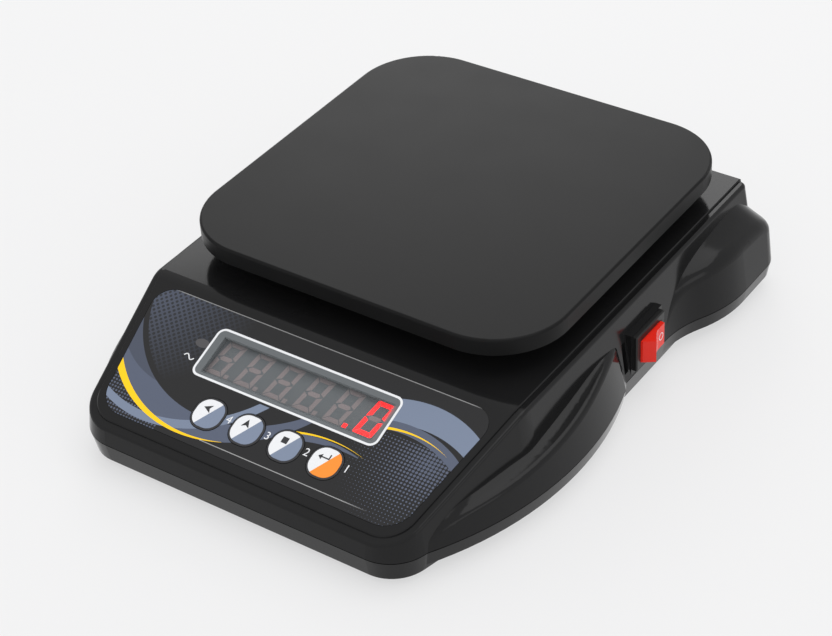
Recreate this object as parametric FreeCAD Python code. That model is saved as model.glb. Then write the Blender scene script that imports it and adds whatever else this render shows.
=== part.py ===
import FreeCAD, Part
import math
import os
from FreeCAD import Placement, Rotation, Vector

os.makedirs("parts", exist_ok=True)

# Digital kitchen scale, millimetres. The origin is on the table, under the middle of the housing.
# +X is the side with the power switch, -Y is the front with the sloped console, +Z is up.

# Housing plan, at the parting line between the two shells
base_depth = 218.8
waist_width = 164.6
console_length = 60.4
side_taper = 13.5
front_corner_radius = 16.0
rear_corner_radius = 2.7
break_radius = 30.0

# Housing heights and walls
foot_height = 3.0
tray_height = 8.1
cover_height = 28.5
console_slope = 19.7
ridge_radius = 12.0
wall_draft = 7.6
rear_wall_draft = 3.6
tray_draft = 10.5
shell_wall = 2.4
panel_step = 0.8
panel_inset = 2.7
shoulder_radius = 1.3
panel_edge = 0.3
parting_gap = 0.4
parting_gap_depth = 1.0
lip_height = 1.8
lip_wall = 1.2
lip_clearance = 0.2

# Front wings: an arc in plan with a dished shelf on top
wing_radius = 127.5
wing_bulge = 7.6
wing_centre_share = 0.3652
wing_turn_share = 0.537
wing_turn_length = 5.0
wing_turn_angle = 29.0
wing_turn_radius = 2.5
wing_draft = 12.0
wing_crest_radius = 2.2
wing_root = 8.0
wing_skirt_lift = 2.0
shelf_dish = 0.45
shelf_least_width = 2.5

# Rear wings: a swept corner in plan with a roof that falls outwards
flare_bulge = 10.6
flare_length_share = 0.3195
flare_concave_radius = 40.0
flare_convex_radius = 50.0
flare_corner_radius = 10.0
flare_crest_radius = 5.5
flare_dish = 0.3

# Printed console film and its window
film_top_from_ridge = 4.0
film_length = 52.8
film_inset = 5.3
film_top_radius = 8.0
film_bottom_radius = 11.0
film_thickness = 0.3
film_clearance = 0.15
window_width = 78.0
window_height = 20.2
window_from_ridge = 21.75
window_offset = -0.3
window_radius = 3.0
window_ledge = 1.5
window_recess = 1.2
window_clearance = 0.1

# Keys in the film, each over its own switch
key_width = 12.6
key_radius = 5.4
key_pitch = 16.4
key_row_offset = 1.9
key_from_ridge = 43.7
key_thickness = 0.5
key_proud = 0.25
key_clearance = 0.2
key_well_depth = 1.2
key_foot_radius = 1.9
key_hole_radius = 2.3
key_travel = 0.35
key_switch_width = 6.0
key_switch_height = 3.5
plunger_radius = 1.6
plunger_clearance = 0.1
plunger_depth = 0.8

# Display board, digits and lamp, set parallel to the console
digit_pitch = 12.7
digit_width = 12.5
digit_length = 19.0
digit_height = 8.0
digit_count = 6
digit_gap = 0.5
lamp_offset_x = 42.2
lamp_from_ridge = 20.0
lamp_radius = 1.5
lamp_flange_radius = 1.9
lamp_flange = 1.0
lamp_length = 5.2
lamp_slot_width = 5.6
lamp_slot_height = 3.2
board_thickness = 1.6
display_board_width = 114.0
display_board_length = 45.0
display_board_top = 6.5
post_radius = 3.0
post_inset = 4.5
board_screw_radius = 1.25
board_screw_head_radius = 2.4
board_screw_head = 1.6
board_screw_length = 6.0
screw_clearance = 0.05
hole_clearance = 0.3

# Weighing platform
platform_share = 0.6856
platform_place_share = 0.6458
platform_radius = 28.1
platform_height = 6.4
platform_top = 55.7
platform_skin = 2.6
platform_wall = 2.4
platform_edge_radius = 0.9
platform_rib = 1.6
platform_rib_height = 3.0
platform_rib_pitch = 28.0

# Carrier under the platform
post_spread = 92.0
carrier_post_radius = 5.0
carrier_hole_radius = 8.0
carrier_hole_rim = 1.6
carrier_hole_rim_height = 1.2
carrier_share = 0.1258
carrier_arm_width = 15.0
carrier_foot_radius = 8.5
carrier_rib = 2.4
carrier_rib_share = 0.0943
carrier_hub_width = 34.0
carrier_hub_length = 78.0
pad_top = 1.5
pad_wall = 1.3
pad_depth = 3.0
socket_wall = 1.4
socket_clearance = 0.3
socket_depth = 5.0

# Load cell and what clamps it
cell_length = 80.0
cell_share = 0.3994
cell_bore_radius = 4.2
cell_bore_spacing = 14.0
cell_web = 4.0
cell_screw_radius = 2.0
cell_screw_head_radius = 3.5
cell_screw_head = 2.4
cell_screw_bite = 6.0
cell_screw_from_end = 5.0
cell_screw_pitch = 15.0
spacer_length = 25.0
spacer_share = 0.0943
pedestal_share = 0.0943
stop_spread_share = 0.2559
stop_radius = 2.5
stop_boss_radius = 5.0
stop_gap = 0.5
stop_bite = 9.0
stop_above_boss = 3.5

# Shell screws and feet
screw_radius = 1.5
screw_head_radius = 2.9
screw_head = 2.0
screw_bite = 7.0
screw_boss_radius = 3.8
screw_counterbore_radius = 3.3
screw_counterbore_depth = 2.6
boss_floor = 2.0
front_boss_x = 62.5
front_boss_from_front = 13.0
middle_boss_x = 73.0
middle_boss_from_front = 74.0
rear_boss_x = 68.0
rear_boss_from_rear = 13.5
foot_radius = 8.5
foot_recess = 0.8
foot_clearance = 0.2
foot_edge = 0.8
foot_stem_radius = 2.4
foot_barb_radius = 3.1
foot_barb_height = 1.6
foot_x = 58.0
front_foot_from_front = 31.0
rear_foot_from_rear = 34.0

# Main board, on the floor under the console
main_board_width = 62.0
main_board_length = 52.0
main_board_offset = 36.0
main_board_share = 0.2834
main_board_standoff = 3.0
chip_width = 9.0
chip_length = 12.0
chip_height = 2.0
capacitor_radius = 4.0
capacitor_height = 9.0
beeper_radius = 6.0
beeper_height = 7.0
header_width = 15.0
header_length = 5.6
header_height = 7.0

# Battery and its strap
battery_length = 69.0
cell_can_share = 0.04205
battery_offset = 31.5
battery_share = 0.3547
strap_width = 14.0
strap_thickness = 1.4
strap_foot = 7.5
strap_clearance = 0.1
strap_boss_height = 4.6

# Power switch on the right side
switch_share = 0.6184
switch_centre_height = 20.8
bezel_length = 19.6
bezel_height = 15.0
bezel_proud = 1.8
switch_pad_margin = 0.9
switch_pad_inset = 0.1
switch_body_length = 17.6
switch_body_height = 12.9
switch_body_depth = 13.0
switch_body_clearance = 0.15
rocker_reach = 7.2
rocker_end_lean = 1.6
rocker_width = 9.2
rocker_gap = 0.2
rocker_tilt = 15.0
rocker_valley = 3.0
rocker_pivot_depth = 1.2
rocker_belly = 5.0
rocker_pin_radius = 1.0
rocker_pin_length = 0.9
rocker_pin_clearance = 0.05
rocker_well_depth = 8.0
terminal_width = 4.8
terminal_thickness = 0.8
terminal_length = 7.0
terminal_spacing = 6.0
slot_width = 2.4
slot_height = 12.5
slot_depth = 1.5
slot_from_pad = 1.4

# Power inlet in the rear wall
jack_offset = 45.0
jack_height = 20.0
jack_body_width = 12.0
jack_body_height = 11.0
jack_body_depth = 10.0
jack_thread_radius = 4.0
jack_socket_radius = 3.15
jack_pin_radius = 1.05
jack_socket_depth = 9.0
jack_nut_radius = 5.6
jack_nut_thickness = 1.5
jack_nut_chamfer_share = 0.12
jack_clearance = 0.15

# One overrun for every cut
overrun = 1.0

parting_z = foot_height + tray_height
top_z = parting_z + cover_height
front_y = -base_depth / 2
rear_y = base_depth / 2
break_y = front_y + console_length
half_waist = waist_width / 2
slope = math.radians(console_slope)
draft = math.tan(math.radians(wall_draft))
rear_draft = math.tan(math.radians(rear_wall_draft))
tray_slant = math.tan(math.radians(tray_draft))
half_front = half_waist - console_length * math.tan(math.radians(side_taper))
console_place = Placement(Vector(0, break_y, top_z), Rotation(Vector(1, 0, 0), console_slope))
floor_z = foot_height + shell_wall
platform_size = platform_share * base_depth
platform_y = front_y + platform_place_share * base_depth
stop_spread = stop_spread_share * base_depth
cell_can_radius = cell_can_share * base_depth

# The weighing parts share the room between the floor and the roof
stack_room = top_z - shell_wall - floor_z
pedestal_height = pedestal_share * stack_room
spacer_thickness = spacer_share * stack_room
cell_width = cell_share * stack_room
carrier_thickness = carrier_share * stack_room
carrier_rib_height = carrier_rib_share * stack_room


# Basic shapes

def rounded_wire(corners, radii, z=0):
    """A closed wire through the corners in the plane at z, each corner rounded by its radius."""
    count = len(corners)
    starts = []
    ends = []
    arcs = []
    for index in range(count):
        corner = Vector(corners[index][0], corners[index][1], z)
        before = Vector(corners[index - 1][0], corners[index - 1][1], z)
        after = Vector(corners[(index + 1) % count][0], corners[(index + 1) % count][1], z)
        radius = radii[index]
        if radius <= 0:
            starts.append(corner)
            ends.append(corner)
            arcs.append(None)
            continue
        back = (before - corner).normalize()
        ahead = (after - corner).normalize()
        half = back.getAngle(ahead) / 2
        start = corner + back * (radius / math.tan(half))
        end = corner + ahead * (radius / math.tan(half))
        centre = corner + (back + ahead).normalize() * (radius / math.sin(half))
        middle = centre + (corner - centre).normalize() * radius
        starts.append(start)
        ends.append(end)
        arcs.append(Part.Arc(start, middle, end).toShape())
    edges = []
    for index in range(count):
        if arcs[index]:
            edges.append(arcs[index])
        following = (index + 1) % count
        if ends[index].distanceToPoint(starts[following]) > Part.Precision.approximation():
            edges.append(Part.makeLine(ends[index], starts[following]))
    return Part.Wire(edges)


def inset_corners(corners, inset):
    """The corners of an anticlockwise polygon moved inwards by the inset."""
    count = len(corners)
    moved = []
    for index in range(count):
        here = Vector(corners[index][0], corners[index][1], 0)
        back = Vector(corners[index - 1][0], corners[index - 1][1], 0)
        ahead = Vector(corners[(index + 1) % count][0], corners[(index + 1) % count][1], 0)
        first = (here - back).normalize()
        second = (ahead - here).normalize()
        first_normal = Vector(-first.y, first.x, 0)
        second_normal = Vector(-second.y, second.x, 0)
        bisector = (first_normal + second_normal).normalize()
        point = here + bisector * (inset / bisector.dot(first_normal))
        moved.append((point.x, point.y))
    return moved


def prism(wire, height):
    return Part.Face(wire).extrude(Vector(0, 0, height))


def box(x_low, x_high, y_low, y_high, z_low, z_high):
    return Part.makeBox(x_high - x_low, y_high - y_low, z_high - z_low, Vector(x_low, y_low, z_low))


def rounded_box(width, length, radius, height, centre_x, centre_y, z_low):
    corners = rectangle(width, length, centre_x, centre_y)
    return prism(rounded_wire(corners, [radius] * 4, z_low), height)


def rectangle(width, length, centre_x=0, centre_y=0):
    return [
        (centre_x - width / 2, centre_y - length / 2),
        (centre_x + width / 2, centre_y - length / 2),
        (centre_x + width / 2, centre_y + length / 2),
        (centre_x - width / 2, centre_y + length / 2),
    ]


def rod(radius, height, x, y, z):
    return Part.makeCylinder(radius, height, Vector(x, y, z))


def on_console(shape):
    """Local x, distance up the slope from the ridge, and height over the console, to the part's frame."""
    return shape.transformed(console_place.toMatrix())


def across(shape, place):
    """Turn local x, y and length to the part's Y, Z and X."""
    return shape.transformed(Placement(place, Rotation(Vector(1, 1, 1), 120)).toMatrix())


def both_sides(shape):
    return [shape, shape.mirror(Vector(0, 0, 0), Vector(1, 0, 0))]


def joined(first, others):
    return first.fuse(others).removeSplitter()


def save(name, shapes):
    solids = []
    for shape in shapes if isinstance(shapes, list) else [shapes]:
        solids.extend(shape.Solids)
    whole = solids[0] if len(solids) == 1 else Part.Compound(solids)
    assert all(solid.isValid() for solid in solids), name
    whole.exportStep("parts/" + name + ".step")


# Housing forms

core_corners = [
    (-half_front, front_y), (half_front, front_y), (half_waist, break_y),
    (half_waist, rear_y), (-half_waist, rear_y), (-half_waist, break_y),
]


def core_outline(inset, z, lift=0, rear_radius=rear_corner_radius):
    """The main body's outline, inset from the parting line, with its rear side moved back by the lift."""
    corners = [(x, y + lift if y > 0 else y) for x, y in inset_corners(core_corners, inset)]
    front = front_corner_radius - inset
    side = break_radius - inset
    return rounded_wire(corners, [front, front, side, rear_radius, rear_radius, side], z)


def core_block(z_low, z_high, inset_low, inset_high):
    return Part.makeLoft([core_outline(inset_low, z_low), core_outline(inset_high, z_high)], True, True)


def cover_block(inset, z_low, z_high, lift=0, rear_radius=rear_corner_radius):
    """The main body above the parting line. Its walls lean inwards, and the rear one leans least."""
    outlines = []
    for z in (z_low, z_high):
        rise = z - parting_z
        moved = lift + rise * (draft - rear_draft)
        outlines.append(core_outline(inset + rise * draft, z, moved, rear_radius))
    return Part.makeLoft(outlines, True, True)


def under_roof(drop, width):
    """All that lies below the flat top and the console, both lowered by the drop."""
    ridge = break_y + drop * math.tan(slope / 2)
    reach = console_length + overrun
    front = ridge - reach
    roof = top_z - drop
    corners = [
        (front, 0), (rear_y + overrun, 0), (rear_y + overrun, roof),
        (ridge, roof), (front, roof - reach * math.tan(slope)),
    ]
    wire = rounded_wire(corners, [0, 0, 0, ridge_radius - drop, 0])
    profile = Part.Face(wire).extrude(Vector(0, 0, width))
    return across(profile, Vector(-width / 2, 0, 0))


def roof_edges(solid):
    """The edges where a roof face meets a wall face."""
    chosen = []
    for edge in solid.Edges:
        slants = []
        for face in solid.ancestorsOfType(edge, Part.Face):
            u_low, u_high, v_low, v_high = face.ParameterRange
            slants.append(abs(face.normalAt((u_low + u_high) / 2, (v_low + v_high) / 2).z))
        if max(slants) > math.cos(2 * slope) and min(slants) < math.sin(2 * slope):
            if edge.CenterOfMass.z > parting_z + tray_height / 2:
                chosen.append(edge)
    return chosen


def wall_x(y, z):
    """Half the width of the main body at a place on its side wall."""
    forward = max(0, break_y - y)
    return half_waist - forward * math.tan(math.radians(side_taper)) - (z - parting_z) * draft


# Wings in plan

wing_centre_x = half_waist + wing_bulge - wing_radius
wing_centre_y = front_y + wing_centre_share * base_depth
wing_front_y = front_y + front_corner_radius / 2
wing_turn_y = front_y + wing_turn_share * base_depth
wing_rear_y = wing_turn_y + wing_turn_length
wing_root_x = half_front - wing_root
flare_x = half_waist + flare_bulge
flare_start_y = rear_y - flare_length_share * base_depth
flare_angle = math.acos(1 - flare_bulge / (flare_concave_radius + flare_convex_radius))
flare_turn_y = flare_start_y + flare_concave_radius * math.sin(flare_angle)
flare_finish_y = flare_turn_y + flare_convex_radius * math.sin(flare_angle)



def wing_x(y, inset):
    """The front wing's outer edge in plan: an arc, and a short turn back to the wall at its rear."""
    on_arc = wing_centre_x + math.sqrt((wing_radius - inset) ** 2 - (y - wing_centre_y) ** 2)
    return on_arc - max(0, y - wing_turn_y) * math.tan(math.radians(wing_turn_angle))


def flare_edge_x(y, inset):
    """The rear wing's outer edge in plan: hollow, then full, then straight."""
    if y < flare_turn_y:
        reach = flare_concave_radius + inset
        return half_waist + flare_concave_radius - math.sqrt(reach ** 2 - max(0, y - flare_start_y) ** 2)
    reach = flare_convex_radius - inset
    return flare_x - flare_convex_radius + math.sqrt(reach ** 2 - max(0, flare_finish_y - y) ** 2)


def wing_outline(inset, z):
    """The front wing's plan, from inside the main body out to its arc."""
    start = Vector(wing_x(wing_front_y, inset), wing_front_y, z)
    middle = Vector(wing_centre_x + wing_radius - inset, wing_centre_y, z)
    turn_y = wing_turn_y - inset * math.tan(math.radians(wing_turn_angle) / 2)
    turn = Vector(wing_x(turn_y, inset), turn_y, z)
    end_x = turn.x - (wing_rear_y - turn_y) * math.tan(math.radians(wing_turn_angle))
    end = Vector(end_x, wing_rear_y, z)
    root_front = Vector(wing_root_x, wing_front_y, z)
    root_rear = Vector(wing_root_x, wing_rear_y, z)
    edges = [
        Part.makeLine(root_front, start), Part.Arc(start, middle, turn).toShape(), Part.makeLine(turn, end),
        Part.makeLine(end, root_rear), Part.makeLine(root_rear, root_front),
    ]
    return Part.Wire(edges)


def flare_outline(inset, z, lift=0):
    """The rear wing's plan, from inside the main body out to its swept edge and rounded corner."""
    corner_y = rear_y + lift - flare_corner_radius
    radius = flare_corner_radius - inset
    begin = Vector(flare_edge_x(flare_start_y, inset), flare_start_y, z)
    turn_y = flare_turn_y + inset * math.sin(flare_angle)
    turn = Vector(flare_edge_x(turn_y, inset), turn_y, z)
    first_y = (flare_start_y + turn_y) / 2
    reach = flare_concave_radius + inset
    first_x = half_waist + flare_concave_radius - math.sqrt(reach ** 2 - (first_y - flare_start_y) ** 2)
    second_y = (turn_y + flare_finish_y) / 2
    finish = Vector(flare_x - inset, flare_finish_y, z)
    corner = Vector(flare_x - inset, corner_y, z)
    bend = radius * math.sin(math.pi / 4)
    round_middle = Vector(flare_x - flare_corner_radius + bend, corner_y + bend, z)
    round_end = Vector(flare_x - flare_corner_radius, corner_y + radius, z)
    root_rear = Vector(wing_root_x, corner_y + radius, z)
    root_front = Vector(wing_root_x, flare_start_y, z)
    edges = [
        Part.Arc(begin, Vector(first_x, first_y, z), turn).toShape(),
        Part.Arc(turn, Vector(flare_edge_x(second_y, inset), second_y, z), finish).toShape(),
        Part.makeLine(finish, corner), Part.Arc(corner, round_middle, round_end).toShape(),
        Part.makeLine(round_end, root_rear), Part.makeLine(root_rear, root_front),
        Part.makeLine(root_front, begin),
    ]
    return Part.Wire(edges)


def footprint(inset, z_low, z_high):
    """An upright block on the whole outline of the housing."""
    height = z_high - z_low
    blocks = [prism(core_outline(inset, z_low), height)]
    for outline in (wing_outline, flare_outline):
        blocks.extend(both_sides(prism(outline(inset, z_low), height)))
    return joined(blocks[0], blocks[1:])


def skirt(outline, inset):
    """One wing's part of the tray, which ends higher than the base."""
    low = foot_height + wing_skirt_lift + inset
    bottom = outline(inset + (parting_z - low) * tray_slant, low)
    return Part.makeLoft([bottom, outline(inset, parting_z)], True, True)


# Wings in height. Each row is the share of the way back along the wing, then the height of its
# top at the body's wall and at its outer edge, as shares of the cover's height.

front_wing_shares = [
    (-0.023, 0.088, 0.067), (0.047, 0.193, 0.158), (0.134, 0.312, 0.256), (0.239, 0.372, 0.319),
    (0.379, 0.411, 0.368), (0.536, 0.460, 0.439), (0.693, 0.537, 0.530), (0.833, 0.621, 0.628),
    (0.938, 0.649, 0.649), (1.025, 0.628, 0.621),
]
rear_wing_shares = [
    (-0.075, 0.260, 0.242), (0.067, 0.453, 0.425), (0.179, 0.589, 0.551), (0.294, 0.691, 0.635),
    (0.436, 0.765, 0.677), (0.608, 0.811, 0.674), (0.780, 0.835, 0.642), (0.855, 0.810, 0.614),
    (0.912, 0.733, 0.551), (0.968, 0.614, 0.460), (1.036, 0.435, 0.312),
]


def wing_air(shares, y_start, y_end, edge_x, lean, dish, drop):
    """All that lies above a wing's dished top, lowered by the drop."""
    sections = []
    for along, wall_share, edge_share in shares:
        y = y_start + along * (y_end - y_start)
        z_wall = parting_z + wall_share * cover_height
        z_edge = parting_z + edge_share * cover_height
        x_edge = edge_x(y, (z_edge - parting_z) * lean)
        x_wall = min(wall_x(y, z_wall), x_edge - shelf_least_width)
        points = []
        for share in (-1.0, -0.5, 0.0, 0.5, 1.0, 1.5, 2.0):
            sag = 4 * dish * share * (share - 1)
            points.append(Vector(x_wall + share * (x_edge - x_wall), y,
                                 z_wall + share * (z_edge - z_wall) + sag - drop))
        curve = Part.BSplineCurve()
        curve.interpolate(points)
        inner = Vector(wing_root_x - overrun, y, points[0].z)
        outer = Vector(flare_x + flare_bulge, y, points[-1].z)
        lid = top_z + overrun
        edges = [
            Part.makeLine(inner, points[0]), curve.toShape(), Part.makeLine(points[-1], outer),
            Part.makeLine(outer, Vector(outer.x, y, lid)),
            Part.makeLine(Vector(outer.x, y, lid), Vector(inner.x, y, lid)),
            Part.makeLine(Vector(inner.x, y, lid), inner),
        ]
        sections.append(Part.Wire(edges))
    return Part.makeLoft(sections, True, False)


def crest_edges(block, y_low, y_high):
    return [edge for edge in roof_edges(block)
            if edge.CenterOfMass.x > half_front and y_low < edge.CenterOfMass.y < y_high]


def front_wing(inset):
    lean = math.tan(math.radians(wing_draft))
    high = parting_z + cover_height
    low_wire = wing_outline(inset, parting_z)
    block = Part.makeLoft([low_wire, wing_outline(inset + cover_height * lean, high)], True, True)
    if inset <= 0:
        near = [edge for edge in block.Edges if abs(edge.CenterOfMass.y - wing_turn_y) < wing_turn_radius]
        upright = [edge for edge in near if edge.BoundBox.ZLength > cover_height / 2]
        block = block.makeFillet(wing_turn_radius, upright)
    air = wing_air(front_wing_shares, wing_front_y, wing_rear_y, wing_x, lean, shelf_dish, inset)
    block = block.cut(air)
    if inset <= 0:
        crest = crest_edges(block, wing_front_y + overrun, wing_rear_y - overrun / 2)
        block = block.makeFillet(wing_crest_radius, crest)
    return block


def rear_wing(inset):
    high = parting_z + cover_height
    lift = cover_height * (draft - rear_draft)
    outlines = [flare_outline(inset, parting_z), flare_outline(inset + cover_height * draft, high, lift)]
    block = Part.makeLoft(outlines, True, True)
    air = wing_air(rear_wing_shares, flare_start_y, rear_y, flare_edge_x, draft, flare_dish, inset)
    block = block.cut(air)
    if inset <= 0:
        block = block.makeFillet(flare_crest_radius, crest_edges(block, flare_start_y + overrun, rear_y))
    return block


# Places that several pieces share

film_front_y = -film_top_from_ridge - film_length


def film_outline(clearance, n):
    """The film's outline on the console, with sides parallel to the console's own."""
    fall = math.sin(slope)
    run = math.cos(slope)
    sides = []
    for v in (-film_top_from_ridge, film_front_y):
        y = break_y + v * run
        z = top_z + v * fall
        sides.append(wall_x(y, z) - film_inset)
    corners = [
        (-sides[1], film_front_y), (sides[1], film_front_y),
        (sides[0], -film_top_from_ridge), (-sides[0], -film_top_from_ridge),
    ]
    corners = inset_corners(corners, clearance)
    radii = [film_bottom_radius, film_bottom_radius, film_top_radius, film_top_radius]
    return rounded_wire(corners, [radius - clearance for radius in radii], n)


key_names = ["left", "up", "stop", "enter"]
key_places = []
for index in range(len(key_names)):
    x = key_row_offset + (index - (len(key_names) - 1) / 2) * key_pitch
    key_places.append((x, -key_from_ridge))

digit_top_n = -shell_wall - digit_gap
display_board_n = digit_top_n - digit_height
display_board_low_v = -display_board_top - display_board_length
display_posts = []
for v in (-display_board_top - post_inset, display_board_low_v + post_inset):
    for x in (-display_board_width / 2 + post_inset, display_board_width / 2 - post_inset):
        display_posts.append((x, v))

boss_places = []
for x, y in (
    (front_boss_x, front_y + front_boss_from_front),
    (middle_boss_x, front_y + middle_boss_from_front),
    (rear_boss_x, rear_y - rear_boss_from_rear),
):
    boss_places.extend([(-x, y), (x, y)])

foot_places = {
    "front_left": (-foot_x, front_y + front_foot_from_front),
    "front_right": (foot_x, front_y + front_foot_from_front),
    "rear_left": (-foot_x, rear_y - rear_foot_from_rear),
    "rear_right": (foot_x, rear_y - rear_foot_from_rear),
}

carrier_posts = []
for side_y in (-1, 1):
    for side_x in (-1, 1):
        carrier_posts.append((side_x * post_spread / 2, platform_y + side_y * post_spread / 2))

cell_low_z = floor_z + pedestal_height + spacer_thickness
cell_high_z = cell_low_z + cell_width
carrier_low_z = cell_high_z + spacer_thickness
carrier_high_z = carrier_low_z + carrier_thickness
skin_low_z = platform_top - platform_skin
stop_places = []
for side_y in (-1, 1):
    for side_x in (-1, 1):
        stop_places.append((side_x * stop_spread / 2, platform_y + side_y * stop_spread / 2))

switch_y = front_y + switch_share * base_depth
switch_pad_x = half_waist - switch_pad_inset
main_board_y = front_y + main_board_share * base_depth
main_board_z = floor_z + main_board_standoff
main_board_holes = [
    (x, y) for x, y in rectangle(main_board_width - 2 * post_inset, main_board_length - 2 * post_inset,
                                 -main_board_offset, main_board_y)
]
battery_y = front_y + battery_share * base_depth
strap_reach = 2 * cell_can_radius + strap_clearance + strap_thickness + strap_foot / 2
strap_holes = [(battery_offset, battery_y - strap_reach), (battery_offset, battery_y + strap_reach)]


# Upper housing

def upper_housing():
    roof_span = 2 * (half_waist + overrun)
    high = top_z + overrun
    body = cover_block(0, parting_z, high).common(under_roof(panel_step, roof_span))
    body = body.makeFillet(shoulder_radius, roof_edges(body))
    panel = cover_block(panel_inset, parting_z, high, panel_inset, 0)
    panel = panel.common(under_roof(0, roof_span))
    panel = panel.makeChamfer(panel_edge, roof_edges(panel))
    wings = both_sides(front_wing(0)) + both_sides(rear_wing(0))
    pad_length = bezel_length + 2 * switch_pad_margin
    pad_low = parting_z
    pad_high = switch_centre_height + bezel_height / 2 + switch_pad_margin
    pad = box(half_waist - 2 * shell_wall, switch_pad_x, switch_y - pad_length / 2,
              switch_y + pad_length / 2, pad_low, pad_high)
    body = joined(body, [panel] + wings + [pad])

    hollow = cover_block(shell_wall, parting_z - overrun, high).common(under_roof(shell_wall, roof_span))
    pockets = []
    for wing in (front_wing(shell_wall), rear_wing(shell_wall)):
        pockets.extend(both_sides(wing.cut(cover_block(0, parting_z - overrun, high))))
    body = body.cut([hollow] + pockets)
    extras = []
    for x, y in boss_places:
        column = rod(screw_boss_radius, high - parting_z, x, y, parting_z)
        column = column.common(under_roof(shell_wall / 2, roof_span)).common(cover_block(0, parting_z, high))
        extras.append(column)
    for x, v in display_posts:
        length = -shell_wall / 2 - display_board_n
        extras.append(on_console(rod(post_radius, length, x, v, display_board_n)))
    for x, y in carrier_posts:
        rim = rod(carrier_hole_radius + carrier_hole_rim, carrier_hole_rim_height + shell_wall / 2, x, y,
                  top_z - shell_wall - carrier_hole_rim_height)
        extras.append(rim)
    body = joined(body, extras)

    cuts = []
    for x, y in boss_places:
        cuts.append(rod(screw_radius + screw_clearance, screw_bite + overrun, x, y, parting_z - overrun))
    for x, v in display_posts:
        pilot = rod(board_screw_radius + screw_clearance, board_screw_length, x, v, display_board_n)
        cuts.append(on_console(pilot))
    for x, y in carrier_posts:
        cuts.append(rod(carrier_hole_radius, top_z, x, y, parting_z))
    cuts.append(on_console(prism(film_outline(0, -film_thickness), film_thickness + overrun)))
    cuts.append(on_console(rounded_box(
        window_width, window_height, window_radius, window_recess + overrun,
        window_offset, -window_from_ridge, -film_thickness - window_recess)))
    cuts.append(on_console(rounded_box(
        window_width - 2 * window_ledge, window_height - 2 * window_ledge, window_radius - window_ledge,
        shell_wall + 2 * overrun, window_offset, -window_from_ridge, -shell_wall - overrun)))
    cuts.append(on_console(rounded_box(
        lamp_slot_width, lamp_slot_height, lamp_slot_height / 2 - screw_clearance, shell_wall + 2 * overrun,
        -lamp_offset_x, -lamp_from_ridge, -shell_wall - overrun)))
    for x, v in key_places:
        well_width = key_width + 2 * key_clearance
        well = rounded_box(well_width, well_width, key_radius + key_clearance, key_well_depth + overrun,
                           x, v, -key_well_depth)
        cuts.append(on_console(well))
        cuts.append(on_console(rod(key_hole_radius, shell_wall + 2 * overrun, x, v, -shell_wall - overrun)))
    clear = switch_body_clearance
    cuts.append(box(half_waist - switch_body_depth, half_waist + overrun,
                    switch_y - switch_body_length / 2 - clear, switch_y + switch_body_length / 2 + clear,
                    switch_centre_height - switch_body_height / 2 - clear,
                    switch_centre_height + switch_body_height / 2 + clear))
    slot_y = switch_y - bezel_length / 2 - switch_pad_margin - slot_from_pad
    slot_x = wall_x(slot_y, switch_centre_height)
    cuts.append(box(slot_x - slot_depth, half_waist + wing_bulge, slot_y - slot_width, slot_y,
                    switch_centre_height - slot_height / 2, switch_centre_height + slot_height / 2))
    hole_start = Vector(jack_offset, rear_y - 2 * shell_wall - overrun, jack_height)
    jack_hole = Part.makeCylinder(jack_thread_radius + jack_clearance, 2 * shell_wall + 2 * overrun,
                                  hole_start, Vector(0, 1, 0))
    cuts.append(jack_hole)
    flat = box(jack_offset - jack_nut_radius - overrun, jack_offset + jack_nut_radius + overrun,
               jack_seat_y(), rear_y + overrun, jack_height - jack_nut_radius - overrun,
               jack_height + jack_nut_radius + overrun)
    cuts.append(flat)
    half_width = jack_body_width / 2 + jack_clearance
    half_height = jack_body_height / 2 + jack_clearance
    inner_flat = box(jack_offset - half_width, jack_offset + half_width,
                     jack_seat_y() - shell_wall - overrun, jack_seat_y() - shell_wall / 2,
                     jack_height - half_height, jack_height + half_height)
    cuts.append(inner_flat)
    return body.cut(cuts)


def jack_seat_y():
    """The upright flat that is sunk into the leaning rear wall for the inlet's nut."""
    return rear_y - (jack_height + jack_nut_radius + overrun - parting_z) * rear_draft


# Lower housing

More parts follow.
